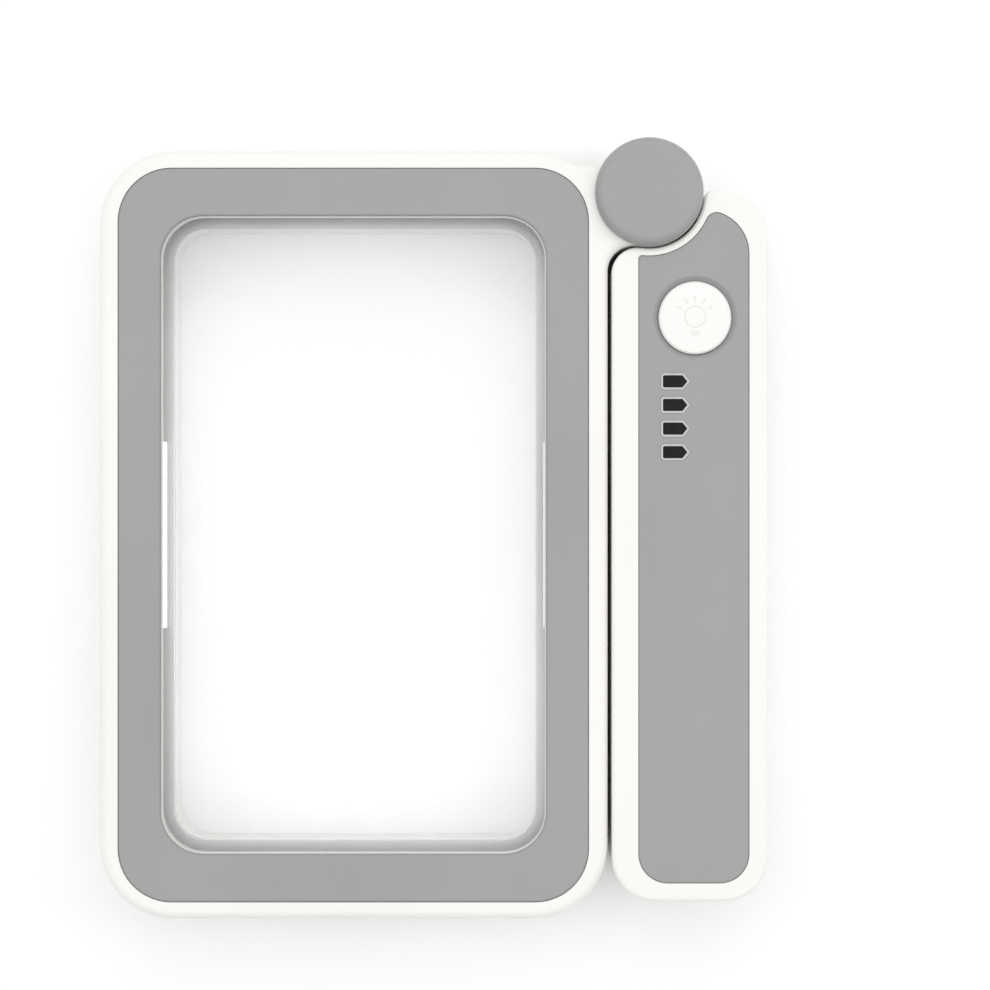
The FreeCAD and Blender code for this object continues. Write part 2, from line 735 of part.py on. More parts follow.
def marks(grow):
    def draw(sketch):
        for row in MARK_ROWS:
            add_polygon(sketch, mark_points(row, grow))
    return draw


def mark_corner(grow):
    """Test that accepts the upright edges at the four blunt corners of every mark."""
    places = [(val(x), val(y)) for row in MARK_ROWS
              for number, (x, y) in enumerate(mark_points(row, grow)) if number != 2]
    return lambda edge: any(upright_at(edge, x, y) for x, y in places)


# The shell's recess is the panel's own outline, a little larger.
recess = panel_body("panel_recess_tool", "panel_gap", "trim_z")
cut(shell, "button_hole", "total_depth", "shelf_z", discs([("button_x", "button_y")],
                                                          "button_radius + button_gap"))
cut(shell, "mark_holes", "total_depth", "shelf_z", marks("(mark_wall + 0.05)"))
round_edges(shell, "mark_corners", "mark_round + mark_wall + 0.05", mark_corner("(mark_wall + 0.05)"))
pad(shell, "bosses", "parting_z", "shelf_z", discs(HANDLE_SCREWS, "boss_radius"))
cut(shell, "pilot_holes", "14", "parting_z", discs(HANDLE_SCREWS, "screw_shank"))


def port_slot(sketch):
    """Charging opening in the bottom end; drawn on the upright plane, so its axes are X and Z."""
    add_rounded(sketch, "cell_x", "port_z", "port_width + 0.3", "port_height + 0.3",
                "port_height / 2 + 0.14")


def port_tool(name, draw, low, high):
    """Prism along Y from level low to level high; the upright plane's normal points to -Y."""
    body = new_body(name)
    pad(body, "prism", f"-({high})", f"-({low})", draw, "XZ_Plane")
    return body


slot_tool = port_tool("port_slot_tool", port_slot, "handle_bottom - 1", "handle_bottom + wall + 0.5")
shell_cut = doc.addObject("Part::Cut", "handle_shell_recessed")
shell_cut.Base = shell
shell_cut.Tool = recess
shell_open = doc.addObject("Part::Cut", "handle_front_shell_final")
shell_open.Base = shell_cut
shell_open.Tool = slot_tool
doc.recompute()
keep("handle_front_shell", shell_open)

# ------------------------------------------------------------------ handle: rear shell
back = new_body("handle_rear_blank")
pad(back, "block", "0", "parting_z", handle_box)
cut(back, "cavity", "parting_z", "wall", handle_cavity)
shape_handle_scoop(back, "0", "parting_z", "wall", "parting_z")
round_edges(back, "rear_round", "edge_round", outer_edges(back.Tip.Shape, 0))
pad(back, "web", "0", "parting_z", lambda s: add_polygon(s, [
    ("pivot_x", "pivot_y"), ("pivot_x + 0.5", "pivot_y - 13"), ("pivot_x + 10", "pivot_y - 11"),
    ("pivot_x + 13", "pivot_y - 3")]))
pad(back, "lug", "0", "parting_z", pivot_disc("lug_radius"))
cut(back, "well", "wave_high", "0", pivot_disc("well_radius"))
cut(back, "pin_hole", "parting_z", "wave_high", pivot_disc("pin_radius + pin_fit"))
pad(back, "board_posts", "wall - 0.5", "board_low", discs(BOARD_POSTS, "1.6"))
pad(back, "bosses", "0", "parting_z", discs(HANDLE_SCREWS, "rear_boss_radius - 0.4"))


def cradle_ribs(sketch):
    for middle in ("cell_bottom + 8", "cell_bottom + 42"):
        for side in ("-1", "1"):
            edge = f"cell_x + {side} * (cell_radius + 0.9)"
            add_box(sketch, f"{edge} - 0.7", f"{middle} - 1", f"{edge} + 0.7", f"{middle} + 1")


pad(back, "cradle", "wall - 0.5", "cell_z", cradle_ribs)
cut(back, "screw_seats", "screw_seat", "0", discs(HANDLE_SCREWS, "screw_head + 0.2"))
cut(back, "screw_holes", "parting_z", "screw_seat", discs(HANDLE_SCREWS, "screw_shank + 0.2"))
cut(back, "lead_channel", "3.4", "rear_cap_thick", lambda s: add_polygon(s, [
    ("pivot_x + 3", "pivot_y - 4.5"), ("pivot_x + 4.5", "pivot_y - 3"),
    ("pivot_x + 16", "pivot_y - 14.5"), ("pivot_x + 13.5", "pivot_y - 17")]))
back_open = doc.addObject("Part::Cut", "handle_rear_shell_final")
back_open.Base = back
back_open.Tool = slot_tool
doc.recompute()
keep("handle_rear_shell", back_open)

# ------------------------------------------------------------------ handle: grey panel
panel = panel_body("handle_panel", "0", "trim_z")
round_edges(panel, "front_soft", "0.4", outer_edges(panel.Tip.Shape, val("total_depth")))
cut(panel, "button_hole", "total_depth", "trim_z", discs([("button_x", "button_y")],
                                                         "button_radius + button_gap"))
round_edges(panel, "button_ring", "button_ring - button_radius - button_gap",
            ring_at(val("button_radius + button_gap"), val("button_x"), val("button_y"),
                    val("total_depth")), "Chamfer")
cut(panel, "mark_holes", "total_depth", "trim_z", marks("(mark_wall + 0.05)"))
round_edges(panel, "mark_corners", "mark_round + mark_wall + 0.05", mark_corner("(mark_wall + 0.05)"))
keep("handle_panel", panel)

# ------------------------------------------------------------------ handle: button and switch
button = new_body("power_button")
pad(button, "cap", "button_low", "total_depth", discs([("button_x", "button_y")], "button_radius"))
pad(button, "flange", "button_low", "button_flange_high", discs([("button_x", "button_y")], "button_flange"))
round_edges(button, "soft_edge", "0.6", ring_at(val("button_radius"), val("button_x"), val("button_y"),
                                                val("total_depth")))


def bulb_ring(sketch):
    """Outline of the bulb."""
    add_circle(sketch, "button_x", "button_y + 0.2", "sign_bulb")
    add_circle(sketch, "button_x", "button_y + 0.2", "sign_bulb - sign_line")


def bulb_marks(sketch):
    """Two bars for the bulb's foot, and five rays over it."""
    for half, level in ((1.0, "2.75"), (0.7, "3.35")):
        add_box(sketch, f"button_x - {half}", f"button_y - {level} - sign_line",
                f"button_x + {half}", f"button_y - {level}")
    for angle in (30, 60, 90, 120, 150):
        along = (math.cos(math.radians(angle)), math.sin(math.radians(angle)))
        points = []
        for reach, side in ((3.1, -0.15), (4.2, -0.15), (4.2, 0.15), (3.1, 0.15)):
            points.append((f"button_x + {reach * along[0] - side * along[1]:.4f}",
                           f"button_y + 0.2 + {reach * along[1] + side * along[0]:.4f}"))
        add_polygon(sketch, points)


cut(button, "bulb", "total_depth", "total_depth - sign_depth", bulb_ring)
cut(button, "foot_and_rays", "total_depth", "total_depth - sign_depth", bulb_marks)
keep("power_button", button)

switch = new_body("push_switch")
pad(switch, "case", "board_high", "switch_high", lambda s: add_box(
    s, "button_x - switch_size / 2", "button_y - switch_size / 2",
    "button_x + switch_size / 2", "button_y + switch_size / 2"))
cut(switch, "bore", "switch_high", "plunger_low - button_travel - 0.4",
    discs([("button_x", "button_y")], "plunger_radius + pin_fit"))
keep("push_switch", switch)

plunger = new_body("switch_plunger")
pad(plunger, "stem", "plunger_low", "plunger_high", discs([("button_x", "button_y")], "plunger_radius"))
keep("switch_plunger", plunger)

# ------------------------------------------------------------------ handle: charge indicator
guide = new_body("indicator_guide")
pad(guide, "base", "guide_low", "shelf_z", lambda s: add_box(
    s, "mark_left - 2", "mark_first_y - 3", "mark_left + mark_length + 2",
    "mark_first_y + 3 * mark_pitch + 3"))
pad(guide, "rims", "shelf_z", "total_depth + 0.1", marks("mark_wall"))
round_edges(guide, "rim_corners", "mark_round + mark_wall", mark_corner("mark_wall"))
cut(guide, "light_wells", "total_depth + 0.1", "guide_low", marks("0"))
round_edges(guide, "well_corners", "mark_round", mark_corner("0"))
keep("indicator_guide", guide)

lights = new_body("indicator_windows", True)
pad(lights, "tiles", "trim_z", "total_depth + 0.05", marks("(-0.02)"))
round_edges(lights, "tile_corners", "mark_round - 0.02", mark_corner("(-0.02)"))
keep("indicator_windows", lights)

pilot = new_body("indicator_leds", True)
pad(pilot, "chips", "board_high", "board_high + 0.7", lambda s: [
    add_box(s, "mark_left + 1.4", f"{row} - 0.6", "mark_left + 3.4", f"{row} + 0.6") for row in MARK_ROWS])
keep("indicator_leds", pilot)

# ------------------------------------------------------------------ handle: board and parts on it
board = new_body("main_board")
pad(board, "sheet", "board_low", "board_high", lambda s: add_box(
    s, "board_left", "board_bottom", "board_right", "board_top"))
keep("main_board", board)

chips = new_body("board_parts", True)
pad(chips, "packages", "board_high", "board_high + 1.2", lambda s: (
    add_box(s, "cell_x + 3", "18", "cell_x + 7", "22"),
    add_box(s, "cell_x + 3", "27", "cell_x + 7", "30"),
    add_box(s, "cell_x - 5", "2", "cell_x - 1", "6"),
    add_box(s, "cell_x + 2", "0", "cell_x + 6", "4"),
    add_box(s, "cell_x + 4", "9", "cell_x + 6.5", "10.5")))
keep("board_parts", chips)

# ------------------------------------------------------------------ handle: cell, tabs and socket
cell = doc.addObject("Part::Cylinder", "battery_cell")
cell.setExpression("Radius", bound("cell_radius"))
cell.setExpression("Height", bound("cell_length"))
cell.setExpression("Placement.Base.x", bound("cell_x"))
cell.setExpression("Placement.Base.y", bound("cell_bottom"))
cell.setExpression("Placement.Base.z", bound("cell_z"))
cell.Placement.Rotation = FreeCAD.Rotation(V(1, 0, 0), -90)
keep("battery_cell", cell)

tabs = new_body("battery_tabs", True)
pad(tabs, "strips", "cell_z - 2", "cell_z + 2", lambda s: (
    add_box(s, "cell_x - 2", "cell_bottom - tab_thick", "cell_x + 2", "cell_bottom"),
    add_box(s, "cell_x - 2", "cell_bottom + cell_length", "cell_x + 2",
            "cell_bottom + cell_length + tab_thick")))
keep("battery_tabs", tabs)

PORT_INNER = "handle_bottom + 0.4"


def port_profile(grow):
    def draw(sketch):
        add_rounded(sketch, "cell_x", "port_z", f"port_width - 2 * ({grow})",
                    f"port_height - 2 * ({grow})", f"port_height / 2 - ({grow}) - 0.01")
    return draw


port_outer = port_tool("port_outer", port_profile("0"), PORT_INNER, f"{PORT_INNER} + port_depth")
port_inner = port_tool("port_inner", port_profile("port_wall"), f"{PORT_INNER} - 1",
                       f"{PORT_INNER} + port_depth - 0.6")
port_tongue = port_tool("port_tongue", lambda s: add_box(
    s, "cell_x - 3.3", "port_z - 0.35", "cell_x + 3.3", "port_z + 0.35"),
    f"{PORT_INNER} + 1.2", f"{PORT_INNER} + port_depth - 0.5")
port_can = doc.addObject("Part::Cut", "port_can")
port_can.Base = port_outer
port_can.Tool = port_inner
port = doc.addObject("Part::Fuse", "charging_socket")
port.Base = port_can
port.Tool = port_tongue
doc.recompute()
keep("charging_socket", port)

port_board = new_body("socket_board")
pad(port_board, "sheet", "port_z - port_height / 2 - 1", "port_z - port_height / 2", lambda s: add_box(
    s, "cell_x - 5.5", f"{PORT_INNER} + 1.9", "cell_x + 5.5", f"{PORT_INNER} + port_depth + 2.2"))
keep("socket_board", port_board)

# ------------------------------------------------------------------ leads
lead("head_lead", [[
    ("pivot_x", "pivot_y", "lead_split_z"),
    ("pivot_x", "pivot_y", "13.5"),
    ("head_x + 47.5", "pivot_y", "13.5"),
    ("head_x + 46.5", "pivot_y - 5", "13.5"),
    ("head_x + 46.5", "head_y + 27", "13.5"),
    ("head_x + strip_offset + 0.5", "head_y + 24.5", "13.5"),
    ("head_x + strip_offset + 0.5", "head_y + strip_length / 2", "13.5")]])
lead("led_link_lead", [[
    ("head_x + strip_offset + 0.5", "head_y - strip_length / 2", "13.5"),
    ("head_x + strip_offset + 0.5", "head_y - 25", "13.5"),
    ("head_x + 48", "head_y - 30", "13.5"),
    ("head_x + 48", "head_y - 68", "13.5"),
    ("head_x + 41.5", "head_y - 75", "13.5"),
    ("head_x - 41.5", "head_y - 75", "13.5"),
    ("head_x - 48", "head_y - 68", "13.5"),
    ("head_x - 48", "head_y - 30", "13.5"),
    ("head_x - strip_offset - 0.5", "head_y - 25", "13.5"),
    ("head_x - strip_offset - 0.5", "head_y - strip_length / 2", "13.5")]], 1.5)
lead("handle_lead", [[
    ("pivot_x", "pivot_y", "lead_split_z"),
    ("pivot_x", "pivot_y", "rear_cap_thick + lead_radius + 0.02"),
    ("pivot_x + 12.5", "pivot_y - 12.5", "rear_cap_thick + lead_radius + 0.02"),
    ("pivot_x + 14", "pivot_y - 15.5", "wall + 2"),
    ("pivot_x + 13.5", "board_top - 4", "board_low - lead_radius")]], 0.9)
lead("battery_lead_plus", [[
    ("cell_x", "cell_bottom + cell_length + tab_thick", "cell_z + 0.4"),
    ("cell_x", "board_bottom - 2.5", "cell_z + 0.4"),
    ("cell_x + 2", "board_bottom - 2.5", "cell_z + 0.4"),
    ("cell_x + 2", "board_bottom + 4", "cell_z + 0.4"),
    ("cell_x + 2", "board_bottom + 4", "board_low")]], 0.8)
lead("battery_lead_minus", [[
    ("cell_x + 1", "cell_bottom - tab_thick", "cell_z + 0.4"),
    ("cell_x + 1", "cell_bottom - 1.6", "cell_z + 0.4"),
    ("cell_x + 9.6", "cell_bottom - 1.6", "cell_z + 0.4"),
    ("cell_x + 9.6", "board_bottom - 6", "cell_z + 0.4"),
    ("cell_x + 4.4", "board_bottom - 2", "cell_z + 0.4"),
    ("cell_x + 4.4", "board_bottom + 4", "cell_z + 0.4"),
    ("cell_x + 4.4", "board_bottom + 4", "board_low")]], 0.8)
SOCKET_BOARD_LOW = "port_z - port_height / 2 - 1"
lead("socket_leads", [[
    (f"cell_x - 3.4 - {shift}", f"{PORT_INNER} + port_depth + 1", SOCKET_BOARD_LOW),
    (f"cell_x - 3.4 - {shift}", f"{PORT_INNER} + port_depth + 1", f"{SOCKET_BOARD_LOW} - 1.1 - {shift}"),
    ("cell_x - 9.6", "cell_bottom - 0.7", f"{SOCKET_BOARD_LOW} - 1.1 - {shift}"),
    ("cell_x - 9.6", "board_bottom - 5", f"{SOCKET_BOARD_LOW} - 1.1 - {shift}"),
    (f"cell_x - 3.1 - {shift}", "board_bottom - 1.5", "cell_z"),
    (f"cell_x - 3.1 - {shift}", "board_bottom + 3", "cell_z"),
    (f"cell_x - 3.1 - {shift}", "board_bottom + 3", "board_low")]
    for shift in (0, 1.5)], 0.8)

# ------------------------------------------------------------------ screws
for label, places in (("head_screws", HEAD_SCREWS), ("handle_screws", HANDLE_SCREWS)):
    screws = new_body(label, True)
    pad(screws, "shanks", "screw_seat", "screw_tip", discs(places, "screw_shank"))
    pad(screws, "heads", "screw_head_low", "screw_seat", discs(places, "screw_head"))
    cut(screws, "drives", "screw_head_low + 0.7", "screw_head_low", lambda s: [
        add_box(s, f"{x} - 1.1", f"{y} - 0.25", f"{x} + 1.1", f"{y} + 0.25") for x, y in places])
    keep(label, screws)

# ------------------------------------------------------------------ checks and files
doc.recompute()
for item in doc.Objects:
    if "Invalid" in item.State or "Error" in item.State:
        raise RuntimeError(f"{item.Name}: {item.State}")
os.makedirs("parts", exist_ok=True)
for name, item in nodes.items():
    shape = item.Shape
    if shape.isNull() or not shape.isValid() or shape.Volume <= 0:
        raise RuntimeError(f"{name}: bad shape")
    shape.exportStep(f"parts/{name}.step")
    print(name, len(shape.Solids), round(shape.Volume, 2))
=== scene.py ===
import json
import math

import bpy
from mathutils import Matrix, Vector


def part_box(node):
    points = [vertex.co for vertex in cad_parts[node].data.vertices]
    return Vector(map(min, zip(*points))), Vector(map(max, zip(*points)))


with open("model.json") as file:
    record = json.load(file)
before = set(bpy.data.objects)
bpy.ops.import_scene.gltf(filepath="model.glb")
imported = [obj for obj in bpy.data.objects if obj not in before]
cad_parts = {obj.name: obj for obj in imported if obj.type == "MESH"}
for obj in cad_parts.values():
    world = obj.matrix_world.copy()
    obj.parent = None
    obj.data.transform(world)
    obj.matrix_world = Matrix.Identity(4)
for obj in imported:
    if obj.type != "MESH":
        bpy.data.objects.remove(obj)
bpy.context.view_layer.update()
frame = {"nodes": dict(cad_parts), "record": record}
scene = bpy.context.scene
scene.view_settings.view_transform = "Standard"
scene.view_settings.look = "None"

MM = 0.001
WHITE = (1.0, 1.0, 1.0)

# Noise scales, per metre.
SLOW = 22.0                  # slow changes of tone
FLOW = 60.0                  # marks left where the plastic flowed
PATCHES = 150.0              # patches of different gloss
GRAIN = 3200.0               # spark-eroded grain
GRAIN_DEPTH = 0.012          # in millimetres

# Places and sizes on the part, in metres.
SEAM_Z = 8.0 * MM            # where the front and rear covers meet
SEAM_HALF = 0.05 * MM
SEAM_SOFT = 0.07 * MM
SEAM_DEPTH = 0.10 * MM
SIGN_DEPTH = 0.10 * MM       # the bulb sign's floor, below the button's top
SIGN_HALF = 0.04 * MM
SIGN_SOFT = 0.02 * MM
LENS_PAINTED_SHADE_START = 54.0 * MM       # from the lens's centre: the painted shade at its corners starts here
LENS_PAINTED_SHADE_FULL = 78.0 * MM      # and is full here
RIB_PITCH = 0.6 * MM         # ribs on the light windows
PAINTED_GLOW_FULL_X = -20.0 * MM     # the painted glow is full on the window left of this
PAINTED_GLOW_WEAK_X = 0.0            # and weak on the window right of this
FLOOR_HALF = 3.0
FLOOR_Z = -0.02 * MM

# Camera, lights and surroundings.
EYE = (12.66 * MM, 7.02 * MM, 470.0 * MM)
SENSOR_WIDTH = 36.0
FOCAL_LENGTH = 79.8
WORLD_STRENGTH = 0.57
LAMPS = (
    # name, place, size, watts
    ("soft_above", (0.0, 0.10, 1.30), (2.2, 2.2), 12.0),
    ("soft_top", (0.05, 0.95, 0.75), (1.2, 0.5), 1.6),
    ("soft_left", (-1.15, 0.10, 0.50), (0.4, 1.2), 1.5),
    ("soft_right", (1.15, 0.10, 0.50), (0.4, 1.2), 2.2),
)


# ---------------------------------------------------------------- material nodes
class Recipe:
    """Node material in the part's own coordinates, which are metres."""

    def __init__(self, name):
        self.material = bpy.data.materials.new(name)
        self.material.use_nodes = True
        self.tree = self.material.node_tree
        self.shader = self.tree.nodes["Principled BSDF"]
        self.output = self.tree.nodes["Material Output"]
        self.place = self.node("ShaderNodeTexCoord").outputs["Object"]
        self.normal = None

    def node(self, kind, **values):
        made = self.tree.nodes.new(kind)
        for key, value in values.items():
            setattr(made, key, value)
        return made

    def link(self, source, target):
        self.tree.links.new(source, target)

    def calc(self, operation, a, b=None):
        made = self.node("ShaderNodeMath", operation=operation)
        for index, value in enumerate((a, b)):
            if value is None:
                continue
            if isinstance(value, (int, float)):
                made.inputs[index].default_value = value
            else:
                self.link(value, made.inputs[index])
        return made.outputs[0]

    def noise(self, scale, detail, roughness=0.5, stretch=None):
        place = self.place
        if stretch:
            mapping = self.node("ShaderNodeMapping")
            mapping.inputs["Scale"].default_value = stretch
            self.link(place, mapping.inputs["Vector"])
            place = mapping.outputs["Vector"]
        made = self.node("ShaderNodeTexNoise")
        made.inputs["Scale"].default_value = scale
        made.inputs["Detail"].default_value = detail
        made.inputs["Roughness"].default_value = roughness
        self.link(place, made.inputs["Vector"])
        return made.outputs["Fac"]

    def spread(self, value, low, high, start=0.3, end=0.7):
        """Value from start to end, spread over low to high."""
        made = self.node("ShaderNodeMapRange")
        made.inputs["From Min"].default_value = start
        made.inputs["From Max"].default_value = end
        made.inputs["To Min"].default_value = low
        made.inputs["To Max"].default_value = high
        self.link(value, made.inputs["Value"])
        return made.outputs["Result"]

    def blend(self, factor, a, b):
        made = self.node("ShaderNodeMix", data_type="RGBA", blend_type="MIX")
        self.link(factor, made.inputs["Factor"])
        for socket, value in ((made.inputs["A"], a), (made.inputs["B"], b)):
            if isinstance(value, tuple):
                socket.default_value = (*value, 1.0)
            else:
                self.link(value, socket)
        return made.outputs["Result"]

    def bump(self, height, distance, strength):
        """Adds to the bumps made before it."""
        made = self.node("ShaderNodeBump")
        made.inputs["Distance"].default_value = distance
        made.inputs["Strength"].default_value = strength
        self.link(height, made.inputs["Height"])
        if self.normal is not None:
            self.link(self.normal, made.inputs["Normal"])
        self.normal = made.outputs["Normal"]

    def axis(self, letter):
        made = self.node("ShaderNodeSeparateXYZ")
        self.link(self.place, made.inputs["Vector"])
        return made.outputs[letter]

    def band(self, value, centre, half, soft):
        """1 inside centre +/- half, falling to 0 over the soft width."""
        away = self.calc("ABSOLUTE", self.calc("SUBTRACT", value, centre))
        made = self.node("ShaderNodeMapRange", interpolation_type="SMOOTHSTEP")
        made.inputs["From Min"].default_value = half
        made.inputs["From Max"].default_value = half + soft
        made.inputs["To Min"].default_value = 1.0
        made.inputs["To Max"].default_value = 0.0
        self.link(away, made.inputs["Value"])
        return made.outputs["Result"]

    def set(self, **values):
        for key, value in values.items():
            socket = self.shader.inputs[key.replace("_", " ")]
            if isinstance(value, tuple):
                socket.default_value = (*value, 1.0)
            elif isinstance(value, (int, float)):
                socket.default_value = value
            else:
                self.link(value, socket)

    def done(self):
        if self.normal is not None:
            self.link(self.normal, self.shader.inputs["Normal"])
        return self.material


def moulded(name, pale, deep, rough, grain=GRAIN, depth=GRAIN_DEPTH, seam=None):
    """Moulded plastic: spark-eroded grain, slow tone changes and flow marks, uneven gloss."""
    coarse = 0.18            # scale of the second, coarser grain against the first
    coarse_depth = 1.6       # its depth against the first
    flow_share = 0.35
    seam_shade = 0.30
    r = Recipe(name)
    slow = r.noise(SLOW, 2.0)
    flow = r.noise(FLOW, 3.0, stretch=(1.0, 0.22, 1.0))
    tone = r.calc("ADD", r.calc("MULTIPLY", slow, 1.0 - flow_share),
                  r.calc("MULTIPLY", flow, flow_share))
    colour = r.blend(r.spread(tone, 0.0, 1.0, 0.35, 0.65), deep, pale)
    r.bump(r.noise(grain, 2.5, 0.6), depth * MM, 0.5)
    r.bump(r.noise(grain * coarse, 2.0), depth * coarse_depth * MM, 0.18)
    if seam is not None:
        line = r.band(r.axis("Z"), seam, SEAM_HALF, SEAM_SOFT)
        shade = tuple(seam_shade * c for c in deep)
        colour = r.blend(line, colour, shade)
        r.bump(r.calc("SUBTRACT", 1.0, line), SEAM_DEPTH, 0.8)
    r.set(Base_Color=colour, Roughness=r.spread(r.noise(PATCHES, 3.0), *rough))
    r.set(Specular_IOR_Level=0.45, IOR=1.5)
    return r.done()


def metal(name, tint, rough, brushing):
    """Metal with fine marks, drawn out along an axis by brushing, and faint stains."""
    marks_scale, stains_scale, stained = 900.0, 120.0, 0.72
    r = Recipe(name)
    marks = r.noise(marks_scale, 4.0, 0.6, stretch=brushing)
    stains = r.spread(r.noise(stains_scale, 2.0), 0.86, 1.0)
    shade = r.blend(stains, tuple(stained * c for c in tint), tint)
    r.bump(marks, 0.01 * MM, 0.35)
    r.set(Base_Color=shade, Metallic=1.0, Roughness=r.spread(marks, *rough))
    return r.done()


def clouded(name, tones, cloud, grain, rough, **plain):
    """Small smooth piece: tone wanders between two colours, with a fine surface.

    cloud is a noise's scale and detail; grain adds the bump's distance and strength;
    rough adds the lowest and highest roughness; plain are single values of the shader.
    """
    r = Recipe(name)
    colour = r.blend(r.spread(r.noise(*cloud), 0.0, 1.0), *tones)
    r.bump(r.noise(*grain[:2]), *grain[2:])
    r.set(Base_Color=colour, Roughness=r.spread(r.noise(*rough[:2]), *rough[2:]), **plain)
    return r.done()


def button_look():
    """White cap; the floor of the sunk bulb sign is given a soft grey, painted shade in the
    recess.
    """
    r = Recipe("white_cap")
    slow = r.spread(r.noise(40.0, 2.0), 0.0, 1.0, 0.35, 0.65)
    colour = r.blend(slow, (0.880, 0.874, 0.858), (0.902, 0.896, 0.880))
    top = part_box("power_button")[1][2]
    # painted shade: a soft grey on the floor of the sunk bulb sign
    painted_sign_shade = r.band(r.axis("Z"), top - SIGN_DEPTH, SIGN_HALF, SIGN_SOFT)
    colour = r.blend(painted_sign_shade, colour, (0.80, 0.795, 0.78))
    r.bump(r.noise(3000.0, 2.5, 0.6), 0.010 * MM, 0.45)
    r.set(Base_Color=colour, Roughness=r.spread(r.noise(PATCHES, 3.0), 0.34, 0.44))
    r.set(Specular_IOR_Level=0.45)
    return r.done()


def lens_look():
    """Polished acrylic, with painted shade at its corners; lamps reach what lies behind it."""
    r = Recipe("clear_acrylic")
    haze = r.spread(r.noise(90.0, 3.0), 0.000, 0.018, 0.35, 0.75)
    low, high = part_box("lens")
    away = r.node("ShaderNodeVectorMath", operation="DISTANCE")
    r.link(r.place, away.inputs[0])
    away.inputs[1].default_value = [(a + b) / 2.0 for a, b in zip(low, high)]
    # painted shade: the lens's colour darkens towards its corners
    painted_corner_shade = r.spread(away.outputs["Value"], 0.0, 1.0, LENS_PAINTED_SHADE_START, LENS_PAINTED_SHADE_FULL)
    tint = r.blend(painted_corner_shade, (0.985, 0.992, 0.990), (0.840, 0.848, 0.848))
    r.set(Base_Color=tint, Roughness=haze, IOR=1.49, Transmission_Weight=1.0)
    r.bump(r.noise(30.0, 1.0), 0.004 * MM, 0.15)
    open_to_lamps = r.node("ShaderNodeBsdfTransparent")
    open_to_lamps.inputs["Color"].default_value = (0.93, 0.935, 0.935, 1.0)
    either = r.node("ShaderNodeMixShader")
    r.link(r.node("ShaderNodeLightPath").outputs["Is Shadow Ray"], either.inputs["Fac"])
    r.link(r.shader.outputs["BSDF"], either.inputs[1])
    r.link(open_to_lamps.outputs["BSDF"], either.inputs[2])
    r.link(either.outputs["Shader"], r.output.inputs["Surface"])
    return r.done()


def diffuser_look():
    """Milky, ribbed windows in front of the side lights, with a painted glow: strong on the
    left window, weak on the right.
    """
    r = Recipe("milky_window")
    ribs = r.calc("SINE", r.calc("MULTIPLY", r.axis("Y"), 2.0 * math.pi / RIB_PITCH))
    cloud = r.spread(r.noise(400.0, 2.0), 0.0, 1.0)
    colour = r.blend(cloud, (0.90, 0.90, 0.91), (0.95, 0.95, 0.955))
    r.bump(ribs, 0.03 * MM, 0.5)
    r.set(Base_Color=colour, Roughness=r.spread(r.noise(250.0, 3.0), 0.30, 0.42))
    # painted light: the windows glow, fully on the left and weakly on the right
    painted_glow_side = r.spread(r.axis("X"), 0.0, 1.0, PAINTED_GLOW_FULL_X, PAINTED_GLOW_WEAK_X)
    r.set(Emission_Color=r.blend(painted_glow_side, WHITE, (0.06, 0.06, 0.06)), Emission_Strength=0.9)
    return r.done()


def board_look():
    """Green solder mask, with a pattern of pads and tracks under it."""
    r = Recipe("green_mask")
    cells = r.node("ShaderNodeTexBrick")
    r.link(r.place, cells.inputs["Vector"])
    cells.inputs["Scale"].default_value = 420.0
    cells.inputs["Mortar Size"].default_value = 0.08
    cells.inputs["Color1"].default_value = (0.010, 0.085, 0.038, 1.0)
    cells.inputs["Color2"].default_value = (0.012, 0.100, 0.045, 1.0)
    cells.inputs["Mortar"].default_value = (0.020, 0.150, 0.066, 1.0)
    slow = r.spread(r.noise(200.0, 3.0), 0.0, 0.4)
    colour = r.blend(slow, cells.outputs["Color"], (0.014, 0.120, 0.054))
    r.bump(cells.outputs["Fac"], 0.02 * MM, 0.5)
    r.bump(r.noise(2600.0, 2.0), 0.004 * MM, 0.4)
    r.set(Base_Color=colour, Roughness=r.spread(r.noise(300.0, 3.0), 0.22, 0.34))
    return r.done()


# ---------------------------------------------------------------- materials
# Slot of the record: name, pale colour, deep colour, lowest and highest roughness, then grain
# per metre and its depth in millimetres where they aren't the usual ones.
MOULDED = {
    "trim": ("grey_trim", (0.352, 0.351, 0.349), (0.330, 0.329, 0.327), (0.40, 0.50),
             GRAIN, 0.016),
    "foam": ("pale_silicone", (0.80, 0.80, 0.785), (0.75, 0.75, 0.735), (0.45, 0.60),
             1400.0, 0.02),
    "strip_board": ("white_board", (0.80, 0.80, 0.78), (0.74, 0.74, 0.72), (0.30, 0.38),
                    2400.0, 0.006),
    "nylon": ("natural_nylon", (0.72, 0.70, 0.63), (0.66, 0.64, 0.57), (0.40, 0.48), 2200.0),
    "switch_case": ("black_case", (0.020, 0.020, 0.022), (0.014, 0.014, 0.015), (0.40, 0.50)),
    "chip": ("black_package", (0.022, 0.022, 0.023), (0.015, 0.015, 0.016), (0.50, 0.60),
             2600.0),
    "plunger": ("dark_plunger", (0.030, 0.030, 0.032), (0.022, 0.022, 0.024), (0.35, 0.45)),
    "cell_wrap": ("blue_film", (0.030, 0.110, 0.330), (0.022, 0.085, 0.270), (0.18, 0.28),
                  900.0, 0.01),
    "lead_white": ("white_sheath", (0.78, 0.78, 0.76), (0.72, 0.72, 0.70), (0.35, 0.45)),
    "lead_red": ("red_sheath", (0.46, 0.020, 0.018), (0.38, 0.015, 0.013), (0.35, 0.45)),
    "lead_black": ("black_sheath", (0.020, 0.020, 0.020), (0.014, 0.014, 0.014), (0.35, 0.45)),
}
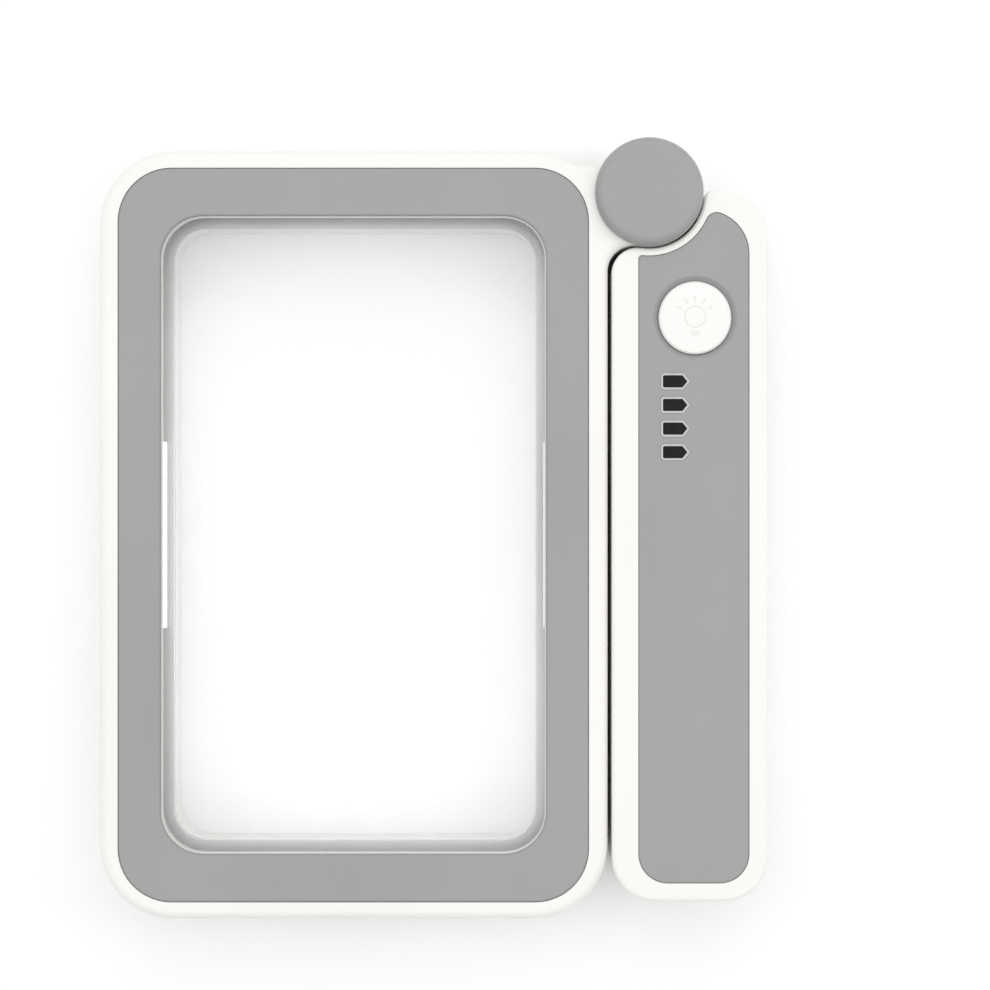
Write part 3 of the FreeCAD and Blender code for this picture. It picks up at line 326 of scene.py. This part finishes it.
# Slot: name, colour, lowest and highest roughness, stretch of the marks.
METALS = {
    "steel": ("turned_steel", (0.62, 0.62, 0.64), (0.22, 0.38), (1.0, 1.0, 12.0)),
    "screw": ("zinc_screw", (0.58, 0.58, 0.60), (0.28, 0.42), (1.0, 1.0, 1.0)),
    "nickel": ("nickel_plate", (0.72, 0.70, 0.66), (0.16, 0.26), (1.0, 9.0, 1.0)),
}

looks = {slot: moulded(*row) for slot, row in MOULDED.items()}
looks.update({slot: metal(*row) for slot, row in METALS.items()})
looks["housing"] = moulded("warm_white_shell", (0.900, 0.893, 0.872), (0.876, 0.868, 0.846),
                           (0.36, 0.46), seam=SEAM_Z)
looks["smoked"] = clouded("smoked_window", ((0.006, 0.006, 0.007), (0.012, 0.012, 0.013)),
                          (700.0, 3.0), (500.0, 2.0, 0.006 * MM, 0.3),
                          (1600.0, 4.0, 0.12, 0.24), Specular_IOR_Level=0.14)
looks["guide"] = clouded("pale_guide", ((0.50, 0.50, 0.495), (0.56, 0.56, 0.555)),
                         (500.0, 3.0), (2600.0, 2.0, 0.006 * MM, 0.4),
                         (300.0, 3.0, 0.24, 0.34),
                         Subsurface_Weight=0.15, Subsurface_Scale=0.0008)
looks["led"] = clouded("phosphor_chip", ((0.78, 0.66, 0.20), (0.88, 0.80, 0.42)),
                       (1800.0, 4.0), (2400.0, 3.0, 0.01 * MM, 0.4),
                       (600.0, 3.0, 0.25, 0.40))
looks["button"] = button_look()
looks["lens"] = lens_look()
looks["diffuser"] = diffuser_look()
looks["board"] = board_look()

for part in frame["record"]["subparts"]:
    for slot in frame["nodes"][part["node"]].material_slots:
        slot.material = looks[part["material_slot"]]


# ---------------------------------------------------------------- floor, lights and camera
def floor_piece():
    corners = [(-FLOOR_HALF, -FLOOR_HALF, 0), (FLOOR_HALF, -FLOOR_HALF, 0),
               (FLOOR_HALF, FLOOR_HALF, 0), (-FLOOR_HALF, FLOOR_HALF, 0)]
    mesh = bpy.data.meshes.new("floor")
    mesh.from_pydata(corners, [], [(0, 1, 2, 3)])
    floor = bpy.data.objects.new("floor", mesh)
    floor.location.z = FLOOR_Z
    scene.collection.objects.link(floor)
    r = Recipe("pale_paper")
    r.bump(r.noise(900.0, 4.0), 0.02 * MM, 0.2)
    tone = r.spread(r.noise(6.0, 2.0), 0.0, 1.0)
    r.set(Base_Color=r.blend(tone, (0.955, 0.955, 0.955), (0.970, 0.970, 0.970)), Roughness=0.9)
    r.set(Specular_IOR_Level=0.1)
    mesh.materials.append(r.done())


def lamp(name, place, size, watts):
    """Soft rectangular light, aimed at the part's origin."""
    data = bpy.data.lights.new(name, "AREA")
    data.shape = "RECTANGLE"
    data.size, data.size_y = size
    data.energy = watts
    data.color = WHITE
    light = bpy.data.objects.new(name, data)
    light.location = place
    light.rotation_euler = (-Vector(place)).to_track_quat("-Z", "Y").to_euler()
    scene.collection.objects.link(light)


floor_piece()
world = bpy.data.worlds.new("soft_white")
world.use_nodes = True
sky = world.node_tree.nodes["Background"]
sky.inputs["Color"].default_value = (*WHITE, 1.0)
sky.inputs["Strength"].default_value = WORLD_STRENGTH
scene.world = world
for row in LAMPS:
    lamp(*row)

camera_data = bpy.data.cameras.new("camera")
camera_data.sensor_width = SENSOR_WIDTH
camera_data.lens = FOCAL_LENGTH
camera = bpy.data.objects.new("camera", camera_data)
camera.location = EYE
scene.collection.objects.link(camera)
scene.camera = camera
